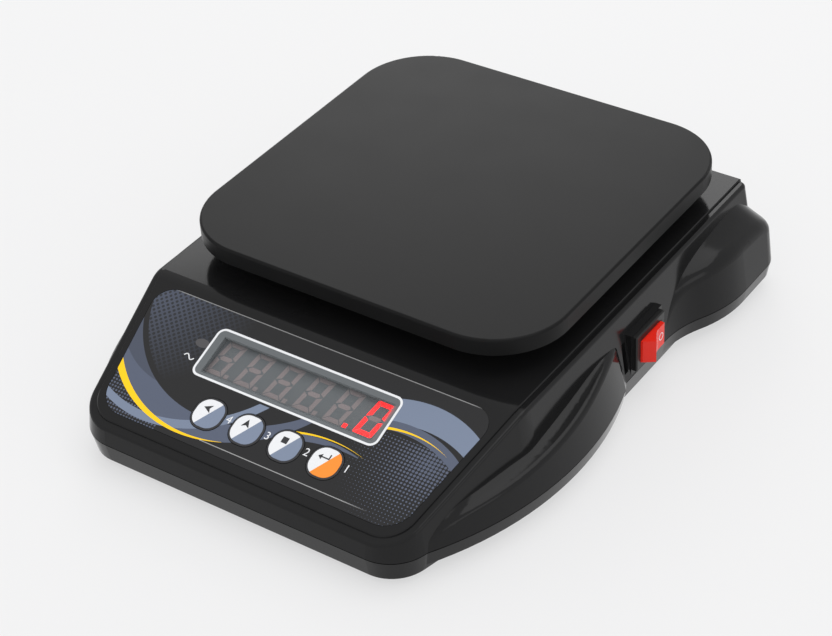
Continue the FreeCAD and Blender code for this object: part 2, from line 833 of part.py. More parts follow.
def lower_housing():
    base_inset = tray_height * tray_slant
    core = core_block(foot_height, parting_z, base_inset, 0)
    hollow = core_block(floor_z, parting_z + overrun, shell_wall + base_inset, shell_wall)
    skirts = []
    pockets = []
    for outline in (wing_outline, flare_outline):
        skirts.extend(both_sides(skirt(outline, 0)))
        pockets.extend(both_sides(skirt(outline, shell_wall).cut(core)))
    tray = joined(core, skirts).cut([hollow] + pockets)

    rim_low = parting_z - parting_gap
    rim = footprint(-overrun, rim_low, parting_z + overrun).cut(
        footprint(parting_gap_depth, rim_low - overrun, parting_z + 2 * overrun))
    tray = tray.cut(rim)

    lip_outer = shell_wall + lip_clearance
    lip_low = parting_z - 2 * lip_height
    lip = core_block(lip_low, parting_z, lip_outer - lip_clearance, lip_outer - lip_clearance).cut(
        core_block(lip_low - overrun, parting_z + overrun, lip_outer + lip_wall, lip_outer + lip_wall))
    upper_lip = cover_block(lip_outer, parting_z, parting_z + lip_height).cut(
        cover_block(lip_outer + lip_wall, parting_z - overrun, parting_z + lip_height + overrun))
    extras = [lip, upper_lip]
    for x, y in boss_places:
        extras.append(rod(screw_boss_radius + boss_floor / 2, parting_z - foot_height - shell_wall / 2, x, y,
                          foot_height + shell_wall / 2))
    for x, y in stop_places:
        height = carrier_low_z - stop_gap - stop_above_boss - foot_height - shell_wall / 2
        extras.append(rod(stop_boss_radius, height, x, y, foot_height + shell_wall / 2))
    post_low_z = foot_height + shell_wall / 2
    for x, y in main_board_holes:
        extras.append(rod(post_radius, main_board_z - post_low_z, x, y, post_low_z))
    for x, y in strap_holes:
        extras.append(rod(post_radius, shell_wall / 2 + strap_boss_height, x, y, post_low_z))
    pedestal_x = -cell_length / 2 + spacer_length / 2
    extras.append(box(pedestal_x - spacer_length / 2, pedestal_x + spacer_length / 2, platform_y - cell_width,
                      platform_y + cell_width, foot_height + shell_wall / 2, floor_z + pedestal_height))
    tray = joined(tray, extras)

    cuts = []
    lip_reach = lip_height + overrun
    for x, y in boss_places:
        cuts.append(rod(screw_boss_radius + 2 * lip_clearance, lip_reach, x, y, parting_z))
        cuts.append(rod(screw_counterbore_radius, screw_counterbore_depth + overrun,
                        x, y, foot_height - overrun))
        cuts.append(rod(screw_radius + hole_clearance, parting_z, x, y, foot_height))
    for x, y in foot_places.values():
        cuts.append(rod(foot_radius + foot_clearance, foot_recess + overrun, x, y, foot_height - overrun))
        cuts.append(rod(foot_stem_radius, floor_z, x, y, foot_height - overrun))
    for x, y in stop_places:
        cuts.append(rod(stop_radius + screw_clearance, stop_bite + stop_above_boss, x, y,
                        carrier_low_z - stop_gap - stop_above_boss - stop_bite))
    for x, y in main_board_holes:
        cuts.append(rod(board_screw_radius + screw_clearance, board_screw_length, x, y,
                        main_board_z + board_thickness - board_screw_length))
    for x, y in cell_screw_places(-1):
        cuts.append(rod(cell_screw_radius + hole_clearance, cell_low_z, x, y, foot_height - overrun))
        cuts.append(rod(cell_screw_head_radius + hole_clearance, cell_screw_head + overrun, x, y,
                        foot_height - overrun))
    for x, y in strap_holes:
        cuts.append(rod(board_screw_radius + screw_clearance, board_screw_length, x, y,
                        floor_z + strap_thickness + strap_boss_height - board_screw_length))
    return tray.cut(cuts)


def cell_screw_places(side):
    """Two screws through one end of the load cell: -1 is the fixed end and 1 the loaded end."""
    places = []
    for step in (0, 1):
        places.append((side * (cell_length / 2 - cell_screw_from_end - step * cell_screw_pitch), platform_y))
    return places


def screw(radius, length, head_radius, head, x, y, z, direction):
    """A pan-head screw. Its head starts at z and its shank runs in the direction of 1 or -1."""
    axis = Vector(0, 0, direction)
    base = Vector(x, y, z)
    cap = Part.makeCylinder(head_radius, head, base - axis * head, axis)
    shank = Part.makeCylinder(radius, length, base, axis)
    slot = Part.makeBox(head_radius, head_radius / 4, head / 2,
                        Vector(x - head_radius / 2, y - head_radius / 8, z - direction * head - head / 4))
    return cap.fuse(shank).removeSplitter().cut(slot)


# Platform, pads and carrier

def platform():
    low = platform_top - platform_height
    outer = rounded_box(platform_size, platform_size, platform_radius, platform_height, 0, platform_y, low)
    rims = [edge for edge in outer.Edges if edge.CenterOfMass.z > platform_top - overrun / 2]
    outer = outer.makeFillet(platform_edge_radius, rims)
    inner_size = platform_size - 2 * platform_wall
    hollow = rounded_box(inner_size, inner_size, platform_radius - platform_wall,
                         platform_height - platform_skin + overrun, 0, platform_y, low - overrun)
    plate = outer.cut(hollow)
    ribs = []
    reach = inner_size / 2 + platform_wall / 2
    for step in (-2, -1, 0, 1, 2):
        offset = step * platform_rib_pitch
        half = platform_rib / 2
        rib_low = skin_low_z - platform_rib_height
        rib_high = skin_low_z + platform_skin / 2
        ribs.append(box(offset - half, offset + half, platform_y - reach, platform_y + reach,
                        rib_low, rib_high))
        ribs.append(box(-reach, reach, platform_y + offset - half, platform_y + offset + half,
                        rib_low, rib_high))
    grid = ribs[0].fuse(ribs[1:]).common(outer)
    plate = joined(plate, [grid])
    pad_radius = carrier_post_radius + pad_wall
    sockets = []
    bores = []
    for x, y in carrier_posts:
        sockets.append(rod(pad_radius + socket_clearance + socket_wall, socket_depth + platform_skin / 2,
                           x, y, skin_low_z - socket_depth))
        bores.append(rod(pad_radius + socket_clearance, socket_depth + overrun, x, y,
                         skin_low_z - socket_depth - overrun))
    return joined(plate, sockets).cut(bores)


def platform_pads():
    pads = []
    for x, y in carrier_posts:
        cap = rod(carrier_post_radius + pad_wall, pad_top + pad_depth, x, y, skin_low_z - pad_top - pad_depth)
        rims = [edge for edge in cap.Edges if edge.CenterOfMass.z > skin_low_z - pad_top / 2]
        cap = cap.makeChamfer(pad_wall / 3, [edge for edge in rims if edge.Length > carrier_post_radius])
        pads.append(cap.cut(rod(carrier_post_radius, pad_depth + overrun, x, y,
                                skin_low_z - pad_top - pad_depth - overrun)))
    return pads


def platform_carrier():
    hub_x = cell_length / 2 - carrier_hub_length / 2
    plate = rounded_box(carrier_hub_length, carrier_hub_width, carrier_hub_width / 4, carrier_thickness,
                        hub_x, platform_y, carrier_low_z)
    pieces = []
    reach = math.hypot(post_spread, post_spread) / 2
    for turn in (45, -45):
        swing = Placement(Vector(0, platform_y, 0), Rotation(Vector(0, 0, 1), turn)).toMatrix()
        arm = box(-reach, reach, -carrier_arm_width / 2, carrier_arm_width / 2, carrier_low_z, carrier_high_z)
        rib = box(-reach, reach, -carrier_rib / 2, carrier_rib / 2, carrier_low_z,
                  carrier_high_z + carrier_rib_height)
        pieces.extend([arm.transformed(swing), rib.transformed(swing)])
    for x, y in carrier_posts:
        pieces.append(rod(carrier_foot_radius, carrier_thickness, x, y, carrier_low_z))
    post_top = skin_low_z - pad_top
    for x, y in carrier_posts:
        pieces.append(rod(carrier_post_radius, post_top - carrier_low_z, x, y, carrier_low_z))
    body = joined(plate, pieces)
    cuts = []
    for x, y in cell_screw_places(1):
        cuts.append(rod(cell_screw_radius + hole_clearance, carrier_thickness + 2 * overrun, x, y,
                        carrier_low_z - overrun))
        cuts.append(rod(cell_screw_head_radius + hole_clearance, carrier_rib_height + overrun,
                        x, y, carrier_high_z))
    return body.cut(cuts)


def load_cell():
    half = cell_width / 2
    beam = box(-cell_length / 2, cell_length / 2, platform_y - half, platform_y + half,
               cell_low_z, cell_high_z)
    middle_z = cell_low_z + half
    bores = []
    for side in (-1, 1):
        bore_start = Vector(side * cell_bore_spacing / 2, platform_y - half - overrun, middle_z)
        bores.append(Part.makeCylinder(cell_bore_radius, cell_width + 2 * overrun, bore_start,
                                       Vector(0, 1, 0)))
    bores.append(box(-cell_bore_spacing / 2, cell_bore_spacing / 2, platform_y - half - overrun,
                     platform_y + half + overrun, middle_z - cell_web / 2, middle_z + cell_web / 2))
    for x, y in cell_screw_places(-1):
        bores.append(rod(cell_screw_radius + screw_clearance, cell_screw_bite + overrun,
                         x, y, cell_low_z - overrun))
    for x, y in cell_screw_places(1):
        bores.append(rod(cell_screw_radius + screw_clearance, cell_screw_bite + overrun, x, y,
                         cell_high_z - cell_screw_bite))
    return beam.cut(bores)


def spacer(side, z):
    """An aluminium block between the load cell's end and what it is clamped to."""
    x = side * (cell_length / 2 - spacer_length / 2)
    block = box(x - spacer_length / 2, x + spacer_length / 2, platform_y - cell_width / 2,
                platform_y + cell_width / 2, z, z + spacer_thickness)
    holes = [rod(cell_screw_radius + hole_clearance, spacer_thickness + 2 * overrun, sx, sy, z - overrun)
             for sx, sy in cell_screw_places(side)]
    return block.cut(holes)


def cell_screws():
    length = cell_low_z + cell_screw_bite - foot_height - cell_screw_head
    return [screw(cell_screw_radius, length, cell_screw_head_radius, cell_screw_head, x, y,
                  foot_height + cell_screw_head, 1) for x, y in cell_screw_places(-1)]


def carrier_screws():
    length = carrier_high_z - cell_high_z + cell_screw_bite - overrun / 2
    return [screw(cell_screw_radius, length, cell_screw_head_radius, cell_screw_head,
                  x, y, carrier_high_z, -1) for x, y in cell_screw_places(1)]


def overload_stops():
    stops = []
    high = carrier_low_z - stop_gap
    for x, y in stop_places:
        low = high - stop_above_boss - stop_bite
        pin = rod(stop_radius, high - low, x, y, low)
        rims = [edge for edge in pin.Edges if edge.CenterOfMass.z > high - stop_gap]
        pin = pin.makeChamfer(stop_radius / 5, [edge for edge in rims if edge.Length > stop_radius])
        stops.append(pin)
    return stops


# Screws of the shells and the boards

def housing_screws():
    seat = foot_height + screw_counterbore_depth
    length = parting_z + screw_bite - overrun / 2 - seat
    return [screw(screw_radius, length, screw_head_radius, screw_head, x, y, seat, 1) for x, y in boss_places]


def display_board_screws():
    screws = []
    low = display_board_n - board_thickness
    for x, v in display_posts:
        fastener = screw(board_screw_radius, board_screw_length - overrun / 2, board_screw_head_radius,
                         board_screw_head, x, v, low, 1)
        screws.append(on_console(fastener))
    return screws


def main_board_screws():
    high = main_board_z + board_thickness
    length = board_screw_length - overrun / 2
    return [screw(board_screw_radius, length, board_screw_head_radius, board_screw_head, x, y, high, -1)
            for x, y in main_board_holes]


def foot(x, y):
    """A rubber foot with a stem that is pulled through the floor."""
    top = foot_height + foot_recess
    pad = rod(foot_radius, top, x, y, 0)
    rims = [edge for edge in pad.Edges if edge.CenterOfMass.z < foot_edge and edge.Length > foot_radius]
    pad = pad.makeChamfer(foot_edge, rims)
    stem = rod(foot_stem_radius, floor_z - top, x, y, top)
    barb = Part.makeCone(foot_barb_radius, foot_stem_radius / 2, foot_barb_height, Vector(x, y, floor_z))
    return joined(pad, [stem, barb])


# Console pieces

def control_film():
    film = prism(film_outline(film_clearance, -film_thickness), film_thickness)
    cuts = [rounded_box(window_width, window_height, window_radius, film_thickness + 2 * overrun,
                        window_offset, -window_from_ridge, -film_thickness - overrun)]
    for x, v in key_places:
        width = key_width + 2 * key_clearance
        cuts.append(rounded_box(width, width, key_radius + key_clearance, film_thickness + 2 * overrun, x, v,
                                -film_thickness - overrun))
    return on_console(film.cut(cuts))


def display_window():
    clear = window_clearance
    pane = rounded_box(window_width - 2 * clear, window_height - 2 * clear, window_radius - clear,
                       window_recess + film_thickness, window_offset, -window_from_ridge,
                       -window_recess - film_thickness)
    return on_console(pane)


def display_board():
    board = rounded_box(display_board_width, display_board_length, post_radius / 2, board_thickness, 0,
                        -display_board_top - display_board_length / 2, display_board_n - board_thickness)
    holes = [rod(board_screw_radius + hole_clearance, board_thickness + 2 * overrun, x, v,
                 display_board_n - board_thickness - overrun) for x, v in display_posts]
    return on_console(board.cut(holes))


def digit(number):
    x = window_offset + (number - (digit_count - 1) / 2) * digit_pitch
    block = box(x - digit_width / 2, x + digit_width / 2, -window_from_ridge - digit_length / 2,
                -window_from_ridge + digit_length / 2, display_board_n, digit_top_n)
    foot_cut = box(x - digit_width / 2 - overrun, x + digit_width / 2 + overrun,
                   -window_from_ridge - digit_length / 5, -window_from_ridge + digit_length / 5,
                   display_board_n - overrun, display_board_n + digit_gap)
    return on_console(block.cut(foot_cut))


def mains_lamp():
    """A small round lamp on legs, under the oval window beside the digits."""
    low = digit_top_n - lamp_length
    flange = rod(lamp_flange_radius, lamp_flange, -lamp_offset_x, -lamp_from_ridge, low)
    barrel = rod(lamp_radius, lamp_length - lamp_radius, -lamp_offset_x, -lamp_from_ridge, low)
    dome = Part.makeSphere(lamp_radius, Vector(-lamp_offset_x, -lamp_from_ridge, digit_top_n - lamp_radius))
    legs = []
    leg = lamp_radius / 5
    for side in (-1, 1):
        x = -lamp_offset_x + side * lamp_radius / 2
        legs.append(box(x - leg, x + leg, -lamp_from_ridge - leg, -lamp_from_ridge + leg,
                        display_board_n, low + leg))
    return on_console(joined(flange, [barrel, dome] + legs))


def key_switches():
    blocks = []
    top = display_board_n + key_switch_height
    for x, v in key_places:
        body = rounded_box(key_switch_width, key_switch_width, plunger_radius / 4, key_switch_height, x, v,
                           display_board_n)
        bore_depth = plunger_depth + key_travel + plunger_clearance
        bore = rod(plunger_radius + plunger_clearance, bore_depth + overrun, x, v, top - bore_depth)
        blocks.append(on_console(body.cut(bore)))
    return blocks


def key_cap(x, v):
    cap = rounded_box(key_width, key_width, key_radius, key_thickness, x, v, key_proud - key_thickness)
    rims = [edge for edge in cap.Edges if edge.CenterOfMass.z > key_proud - key_thickness / 4]
    cap = cap.makeChamfer(key_thickness / 3, rims)
    stub = rod(key_foot_radius, shell_wall + key_thickness / 2, x, v, key_proud - key_thickness - shell_wall)
    return on_console(joined(cap, [stub]))


def key_plunger(x, v):
    low = display_board_n + key_switch_height - plunger_depth
    high = key_proud - key_thickness - shell_wall
    return on_console(rod(plunger_radius, high - low, x, v, low))


# Main board and its parts

def main_board():
    board = rounded_box(main_board_width, main_board_length, post_radius / 2, board_thickness,
                        -main_board_offset, main_board_y, main_board_z)
    hole_radius = board_screw_radius + hole_clearance
    holes = [rod(hole_radius, board_thickness + 2 * overrun, x, y, main_board_z - overrun)
             for x, y in main_board_holes]
    return board.cut(holes)


def board_chips():
    top = main_board_z + board_thickness
    chips = []
    for share_x, share_y in ((-0.18, 0.12), (0.2, -0.1)):
        x = -main_board_offset + share_x * main_board_width
        y = main_board_y + share_y * main_board_length
        chip = box(x - chip_width / 2, x + chip_width / 2, y - chip_length / 2, y + chip_length / 2, top,
                   top + chip_height)
        dot = rod(chip_height / 4, chip_height, x - chip_width / 3, y + chip_length / 3,
                  top + chip_height * 3 / 4)
        chips.append(chip.cut(dot))
    return chips


def filter_capacitors():
    top = main_board_z + board_thickness
    cans = []
    for share_y in (0.08, -0.14):
        x = -main_board_offset + main_board_width / 2 - 2 * capacitor_radius
        y = main_board_y + share_y * main_board_length
        neck_radius = capacitor_radius * 9 / 10
        base = rod(capacitor_radius, capacitor_height / 8, x, y, top)
        neck = rod(neck_radius, capacitor_height, x, y, top)
        can = rod(capacitor_radius, capacitor_height * 3 / 4, x, y, top + capacitor_height / 4)
        cans.append(joined(base, [neck, can]))
    return cans


def beeper():
    top = main_board_z + board_thickness
    x = -main_board_offset - main_board_width / 2 + 2 * beeper_radius
    y = main_board_y - main_board_length / 2 + 2 * beeper_radius
    return rod(beeper_radius, beeper_height, x, y, top).cut(
        rod(beeper_radius / 6, beeper_height, x, y, top + beeper_height / 2))


def board_headers():
    top = main_board_z + board_thickness
    blocks = []
    for share_x in (-0.2, 0.15):
        x = -main_board_offset + share_x * main_board_width
        y = main_board_y + main_board_length / 2 - header_length
        block = box(x - header_width / 2, x + header_width / 2, y - header_length / 2, y + header_length / 2,
                    top, top + header_height)
        wall = header_length / 6
        pocket = box(x - header_width / 2 + wall, x + header_width / 2 - wall, y - header_length / 2 + wall,
                     y + header_length / 2 - wall, top + header_height / 2, top + header_height + overrun)
        blocks.append(block.cut(pocket))
    return blocks


# Battery

def battery():
    """Two round cells side by side in one shrink sleeve."""
    corners = [
        (-2 * cell_can_radius, 0), (2 * cell_can_radius, 0),
        (2 * cell_can_radius, 2 * cell_can_radius), (-2 * cell_can_radius, 2 * cell_can_radius),
    ]
    sleeve = prism(rounded_wire(corners, [cell_can_radius - screw_clearance] * 4), battery_length)
    block = across(sleeve, Vector(battery_offset - battery_length / 2, battery_y, floor_z))
    ends = [edge for edge in block.Edges
            if abs(abs(edge.CenterOfMass.x - battery_offset) - battery_length / 2) < overrun]
    return block.makeChamfer(cell_can_radius / 8, ends)


def battery_strap():
    clear = strap_clearance
    half = 2 * cell_can_radius + clear
    high = 2 * cell_can_radius + clear
    foot_z = strap_boss_height
    outer_half = half + strap_thickness
    outer_high = high + strap_thickness
    outer = [(-outer_half, foot_z), (outer_half, foot_z), (outer_half, outer_high), (-outer_half, outer_high)]
    inner = [(-half, foot_z - overrun), (half, foot_z - overrun), (half, high), (-half, high)]
    bend = cell_can_radius + clear
    shell = prism(rounded_wire(outer, [0, 0, bend + strap_thickness, bend + strap_thickness]), strap_width)
    space = prism(rounded_wire(inner, [0, 0, bend, bend]), strap_width)
    band = shell.cut(space)
    reach = half + strap_thickness + strap_foot
    for side in (-1, 1):
        start = half if side > 0 else -reach
        tab = box(start, start + strap_thickness + strap_foot, foot_z, foot_z + strap_thickness,
                  0, strap_width)
        band = band.fuse(tab)
    band = band.removeSplitter()
    band = across(band, Vector(battery_offset - strap_width / 2, battery_y, floor_z))
    holes = [rod(board_screw_radius + hole_clearance, 2 * strap_thickness + overrun, x, y,
                 floor_z + foot_z - overrun) for x, y in strap_holes]
    return band.cut(holes)


def strap_screws():
    top = floor_z + strap_boss_height + strap_thickness
    length = board_screw_length - overrun / 2
    return [screw(board_screw_radius, length, board_screw_head_radius, board_screw_head, x, y, top, -1)
            for x, y in strap_holes]


# Power switch, drawn with its length along Y and its face towards +X

def switch_housing():
    bezel = rounded_box(bezel_length, bezel_height, bezel_proud / 3, bezel_proud, 0, 0, 0)
    front_rims = [edge for edge in bezel.Edges if edge.CenterOfMass.z > bezel_proud * 3 / 4]
    bezel = bezel.makeChamfer(bezel_proud / 4, front_rims)
    barrel = box(-switch_body_length / 2, switch_body_length / 2, -switch_body_height / 2,
                 switch_body_height / 2, -switch_body_depth, bezel_proud / 2)
    block = joined(bezel, [barrel])
    well = box(-rocker_reach - rocker_gap, rocker_reach + rocker_gap, -rocker_width / 2 - rocker_gap,
               rocker_width / 2 + rocker_gap, bezel_proud - rocker_well_depth, bezel_proud + overrun)
    pins = Part.makeCylinder(rocker_pin_radius + rocker_pin_clearance,
                             rocker_width + 2 * rocker_pin_length + 2 * rocker_gap,
                             Vector(0, -rocker_width / 2 - rocker_pin_length - rocker_gap,
                                    bezel_proud - rocker_pivot_depth), Vector(0, 1, 0))
    return to_side(block.cut([well, pins]))


def to_side(shape):
    """Local length, width and height to the switch's place on the right wall."""
    turn = Rotation(Vector(0, 1, 0), Vector(0, 0, 1), Vector(1, 0, 0), "XYZ")
    place = Placement(Vector(switch_pad_x, switch_y, switch_centre_height), turn)
    return shape.transformed(place.toMatrix())


def power_rocker():
    """A hollow-faced rocker on two stub pins, with its rear end pressed in."""
    tip = rocker_reach - rocker_end_lean
    top = rocker_valley + tip * math.tan(math.radians(rocker_tilt))
    corners = [
        (-rocker_reach, -rocker_belly), (rocker_reach, -rocker_belly), (rocker_reach, 0), (tip, top),
        (0, rocker_valley), (-tip, top), (-rocker_reach, 0),
    ]
    block = prism(rounded_wire(corners, [0, 0, 0, 0, rocker_reach, 0, 0]), rocker_width)
    block = block.common(Part.makeCylinder(rocker_reach, rocker_width))
    pins = Part.makeCylinder(rocker_pin_radius, rocker_width + 2 * rocker_pin_length,
                             Vector(0, 0, -rocker_pin_length))
    block = joined(block, [pins])
    upright = Placement(Vector(0, rocker_width / 2, bezel_proud - rocker_pivot_depth),
                        Rotation(Vector(1, 0, 0), 90))
    turned = block.transformed(Placement(Vector(0, 0, 0), Rotation(Vector(0, 0, 1), -rocker_tilt)).toMatrix())
    return to_side(turned.transformed(upright.toMatrix()))


def switch_terminals():
    blades = []
    for step in (-1, 0):
        x = step * terminal_spacing
        blade = box(x - terminal_width / 2, x + terminal_width / 2, -terminal_thickness / 2,
                    terminal_thickness / 2, -switch_body_depth - terminal_length, -switch_body_depth)
        hole_start = Vector(x, -terminal_thickness / 2 - overrun, -switch_body_depth - terminal_length / 2)
        hole = Part.makeCylinder(terminal_width / 5, terminal_thickness + 2 * overrun, hole_start,
                                 Vector(0, 1, 0))
        blades.append(to_side(blade.cut(hole)))
    return blades


# Power inlet

def dc_jack():
    seat = jack_seat_y()
    inner = seat - shell_wall / 2
    back = inner - jack_body_depth
    body = box(jack_offset - jack_body_width / 2, jack_offset + jack_body_width / 2, back, inner,
               jack_height - jack_body_height / 2, jack_height + jack_body_height / 2)
    face_y = seat + jack_nut_thickness + jack_clearance
    barrel = Part.makeCylinder(jack_thread_radius, face_y - inner, Vector(jack_offset, inner, jack_height),
                               Vector(0, 1, 0))
    socket = Part.makeCylinder(jack_socket_radius, jack_socket_depth + overrun,
                               Vector(jack_offset, face_y - jack_socket_depth, jack_height), Vector(0, 1, 0))
    pin = Part.makeCylinder(jack_pin_radius, jack_socket_depth, Vector(jack_offset, face_y - jack_socket_depth
                            - jack_pin_radius, jack_height), Vector(0, 1, 0))
    return joined(joined(body, [barrel]).cut(socket), [pin])


def jack_nut():
    """A thin hexagon nut that pulls the inlet against the sunk flat."""
    seat = jack_seat_y()
    corners = []
    for step in range(6):
        turn = math.radians(60 * step)
        corners.append((jack_nut_radius * math.cos(turn), jack_nut_radius * math.sin(turn)))
    chamfer = jack_nut_chamfer_share * jack_nut_radius
    nut = prism(rounded_wire(corners, [chamfer] * 6), jack_nut_thickness)
    nut = nut.cut(Part.makeCylinder(jack_thread_radius + screw_clearance, jack_nut_thickness + overrun))
    place = Placement(Vector(jack_offset, seat + jack_nut_thickness, jack_height),
                      Rotation(Vector(1, 0, 0), 90))
    return nut.transformed(place.toMatrix())


save("upper_housing", upper_housing())
save("lower_housing", lower_housing())
save("housing_screws", housing_screws())
for name, (x, y) in foot_places.items():
    save(name + "_foot", foot(x, y))
save("platform", platform())
save("platform_pads", platform_pads())
save("platform_carrier", platform_carrier())
save("carrier_screws", carrier_screws())
save("upper_spacer", spacer(1, cell_high_z))
save("load_cell", load_cell())
save("lower_spacer", spacer(-1, cell_low_z - spacer_thickness))
save("load_cell_screws", cell_screws())
save("overload_stops", overload_stops())
save("control_film", control_film())
save("display_window", display_window())
save("display_board", display_board())
save("display_board_screws", display_board_screws())
for number in range(digit_count):
    save("digit_" + str(number + 1), digit(number))
save("mains_lamp", mains_lamp())
save("key_switches", key_switches())
for name, (x, v) in zip(key_names, key_places):
    save(name + "_key", key_cap(x, v))
    save(name + "_key_plunger", key_plunger(x, v))
save("main_board", main_board())
save("main_board_screws", main_board_screws())
save("board_chips", board_chips())
save("filter_capacitors", filter_capacitors())
save("beeper", beeper())
save("board_headers", board_headers())
save("battery", battery())
save("battery_strap", battery_strap())
save("strap_screws", strap_screws())
save("switch_housing", switch_housing())
save("power_rocker", power_rocker())
save("switch_terminals", switch_terminals())
save("dc_jack", dc_jack())
save("jack_nut", jack_nut())
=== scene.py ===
# Dresses the kitchen scale and sets up a plain studio.
# The frame and the studio are in metres, and the printed shapes are drawn in millimetres.
import math

import bpy
from mathutils import Matrix, Vector


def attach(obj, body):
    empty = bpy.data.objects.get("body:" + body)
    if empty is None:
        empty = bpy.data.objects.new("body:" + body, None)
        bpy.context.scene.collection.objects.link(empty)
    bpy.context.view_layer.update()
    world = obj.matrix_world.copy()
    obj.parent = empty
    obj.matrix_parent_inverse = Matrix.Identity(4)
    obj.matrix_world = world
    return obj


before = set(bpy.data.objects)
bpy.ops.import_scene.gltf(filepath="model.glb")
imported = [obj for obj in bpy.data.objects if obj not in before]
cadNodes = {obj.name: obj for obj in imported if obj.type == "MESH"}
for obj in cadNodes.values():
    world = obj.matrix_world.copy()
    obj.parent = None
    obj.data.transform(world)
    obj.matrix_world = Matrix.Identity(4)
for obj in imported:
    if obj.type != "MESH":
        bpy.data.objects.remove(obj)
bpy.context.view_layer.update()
print("frame loaded:", len(cadNodes), "nodes")

mm = 0.001

# where the sloped console lies: its ridge line, and its fall towards the front
console = {
    "ridgeY": -49.0 * mm,
    "ridgeZ": 39.6 * mm,
    "slope": math.radians(19.7),
}
slopeCos = math.cos(console["slope"])
slopeSin = math.sin(console["slope"])
ridge = Matrix.Translation((0, console["ridgeY"], console["ridgeZ"]))
consoleMatrix = ridge @ Matrix.Rotation(console["slope"], 4, "X")


# Shader helpers

class Sock:
    # one socket; arithmetic on it adds Math nodes to its tree
    def __init__(self, shader, out):
        self.shader = shader
        self.out = out

    def math(self, operation, *others):
        values = dict(enumerate((self,) + others))
        return self.shader.add("ShaderNodeMath", {"operation": operation}, values)

    def __add__(self, other):
        return self.math("ADD", other)

    def __radd__(self, other):
        return self.math("ADD", other)

    def __sub__(self, other):
        return self.math("SUBTRACT", other)

    def __rsub__(self, other):
        return self.shader.add("ShaderNodeMath", {"operation": "SUBTRACT"}, {0: other, 1: self})

    def __mul__(self, other):
        return self.math("MULTIPLY", other)

    def __rmul__(self, other):
        return self.math("MULTIPLY", other)

    def __truediv__(self, other):
        return self.math("DIVIDE", other)

    def __rtruediv__(self, other):
        return self.shader.add("ShaderNodeMath", {"operation": "DIVIDE"}, {0: other, 1: self})

    def __pow__(self, other):
        return self.math("POWER", other)

    def __gt__(self, other):
        return self.math("GREATER_THAN", other)

    def __lt__(self, other):
        return self.math("LESS_THAN", other)

    def most(self, other):
        return self.math("MAXIMUM", other)

    def size(self):
        return self.math("ABSOLUTE")

    def wave(self):
        return self.math("SINE")

    def clamped(self):
        return self.shader.add("ShaderNodeClamp", {}, {"Value": self})


class Shader:
    # a material with one Principled BSDF
    def __init__(self, name, surface):
        self.material = bpy.data.materials.new(name)
        self.material.use_nodes = True
        self.tree = self.material.node_tree
        self.bsdf = self.tree.nodes["Principled BSDF"]
        for socketName, value in surface.items():
            self.bsdf.inputs[socketName].default_value = value

    def add(self, kind, settings, values, out=0):
        node = self.tree.nodes.new(kind)
        for key, value in settings.items():
            setattr(node, key, value)
        for key, value in values.items():
            if isinstance(value, Sock):
                self.tree.links.new(value.out, node.inputs[key])
            else:
                node.inputs[key].default_value = value
        return Sock(self, node.outputs[out])

    def feed(self, **values):
        for key, value in values.items():
            self.tree.links.new(value.out, self.bsdf.inputs[key.replace("_", " ")])

    def place(self):
        return self.add("ShaderNodeTexCoord", {}, {}, "Object")

    def split(self, vector):
        return [self.add("ShaderNodeSeparateXYZ", {}, {0: vector}, axis) for axis in range(3)]

    def noise(self, scale, detail=2.0, rough=0.5, vector=None):
        values = {"Vector": vector or self.place(), "Scale": scale, "Detail": detail, "Roughness": rough}
        return self.add("ShaderNodeTexNoise", {}, values, "Fac")

    def mixColor(self, factor, first, second):
        return self.add("ShaderNodeMix", {"data_type": "RGBA"}, {0: factor, 6: first, 7: second}, 2)

    def bump(self, height, strength, distance):
        values = {"Height": height, "Strength": strength, "Distance": distance}
        return self.add("ShaderNodeBump", {}, values)


def gray(level):
    return (level, level, level, 1)


# Plain materials

def plastic(name, color, roughness, grain):
    # grain holds: scale, bump distance, share of roughness that varies, strength of the reflection
    shader = Shader(name, {"Base Color": color, "Roughness": roughness, "Specular IOR Level": grain["shine"]})
    fine = shader.noise(grain["scale"], 3.0, 0.6)
    broad = shader.noise(grain["scale"] * 0.02, 2.0)
    varied = roughness * (1.0 - grain["vary"]) + broad * (2.0 * roughness * grain["vary"])
    tint = tuple(min(1.0, channel * 1.12 + 0.001) for channel in color[:3]) + (1.0,)
    shader.feed(Base_Color=shader.mixColor(broad, color, tint), Roughness=varied.clamped(),
                Normal=shader.bump(fine, 0.5, grain["bump"]))
    return shader.material


def metal(name, color, roughness, brush):
    # brush stretches the noise along one axis
    shader = Shader(name, {"Base Color": color, "Roughness": roughness, "Metallic": 1.0})
    stretched = shader.add("ShaderNodeMapping", {}, {"Vector": shader.place(), "Scale": brush})
    lines = shader.noise(900.0, 3.0, 0.6, stretched)
    dull = shader.noise(120.0, 2.0)
    dark = tuple(channel * 0.82 for channel in color[:3]) + (1.0,)
    shader.feed(Base_Color=shader.mixColor(dull, color, dark),
                Roughness=(lines * 0.18 + roughness - 0.09).clamped(),
                Normal=shader.bump(lines, 0.3, 0.00002))
    return shader.material


bodyLook = {"scale": 900.0, "bump": 0.000006, "vary": 0.18, "shine": 0.17}
panLook = {"scale": 2600.0, "bump": 0.000022, "vary": 0.12, "shine": 0.08}
plainLook = {"scale": 1500.0, "bump": 0.00001, "vary": 0.15, "shine": 0.25}
rubberLook = {"scale": 2400.0, "bump": 0.00003, "vary": 0.1, "shine": 0.3}

